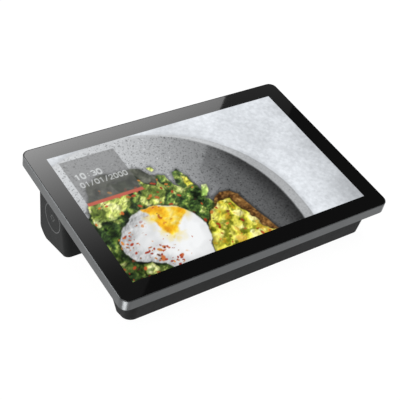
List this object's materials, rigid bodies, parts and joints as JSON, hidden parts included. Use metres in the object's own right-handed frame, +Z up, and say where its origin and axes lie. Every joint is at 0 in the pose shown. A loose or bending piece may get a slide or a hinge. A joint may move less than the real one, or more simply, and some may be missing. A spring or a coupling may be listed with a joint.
{
  "type": "smart display",
  "caption": "Slanted touch display with a metal rim on a fixed wedge stand, with rear sockets and a side power button.",
  "frame": {"origin": "on the table, under the middle of the object's box", "axes": "+X to the user's right along the screen's wide side, +Y away from the user, +Z up"},
  "size_m": [0.2476, 0.164, 0.0821],
  "materials": {
    "cover_glass": "polished, black printed border",
    "picture_panel": "lit picture",
    "touch_film": "clear laminated film",
    "panel_tray": "plain zinc-plated sheet",
    "rim_metal": "fine blasted and anodised, dark silver",
    "stand_plastic": "fine moulded texture",
    "housing_plastic": "fine moulded texture",
    "button_plastic": "satin",
    "circuit_board": "solder mask",
    "chip_plastic": "moulded",
    "heat_sink_metal": "black anodised",
    "tin_shield": "tin-plated",
    "screw_steel": "black zinc",
    "socket_plastic": "nickel shell and black insulator",
    "speaker_plastic": "moulded",
    "soft_foam": "closed-cell foam",
    "pad_rubber": "matt",
    "ribbon_film": "polyimide film",
    "lead_jacket": "smooth"
  },
  "bodies": {
    "chassis": {"antenna_lead": "lead_jacket", "backlight_unit": "panel_tray", "button_lead": "lead_jacket", "clock_cell": "tin_shield", "cover_glass": "cover_glass", "cover_screws": "screw_steel", "dc_power_socket": "socket_plastic", "ethernet_socket": "socket_plastic", "foot_pad_left": "pad_rubber", "foot_pad_right": "pad_rubber", "foot_screws": "screw_steel", "front_foot": "stand_plastic", "glass_tape": "soft_foam", "heat_sink": "heat_sink_metal", "housing_screws": "screw_steel", "io_board": "circuit_board", "io_board_screws": "screw_steel", "io_ribbon": "ribbon_film", "lcd_cell": "picture_panel", "leg_base_cover": "housing_plastic", "leg_pad_left": "pad_rubber", "leg_pad_right": "pad_rubber", "leg_screws": "screw_steel", "leg_shell": "stand_plastic", "mainboard": "circuit_board", "mainboard_screws": "screw_steel", "mid_plate": "panel_tray", "panel_ribbon": "ribbon_film", "plate_screws": "screw_steel", "processor": "chip_plastic", "rear_housing": "housing_plastic", "ribbon_sockets": "chip_plastic", "rim_frame": "rim_metal", "shield_can": "tin_shield", "speaker_gaskets": "soft_foam", "speaker_lead_left": "lead_jacket", "speaker_lead_right": "lead_jacket", "speaker_left": "speaker_plastic", "speaker_right": "speaker_plastic", "switch_board": "circuit_board", "switch_housing": "chip_plastic", "switch_screws": "screw_steel", "touch_sensor": "touch_film", "usb_socket_left": "socket_plastic", "usb_socket_right": "socket_plastic", "wireless_antenna": "circuit_board", "wireless_module": "tin_shield"},
    "button": {"power_button": "button_plastic", "switch_plunger": "chip_plastic"}
  },
  "joints": [
    {"name": "power_button_press", "type": "slide", "parent": "chassis", "child": "button", "axis": [-1, 0, 0], "range_m": [0, 0.0005], "stiffness_N_per_m": 1500, "springref_m": -0.0002}
  ]
}
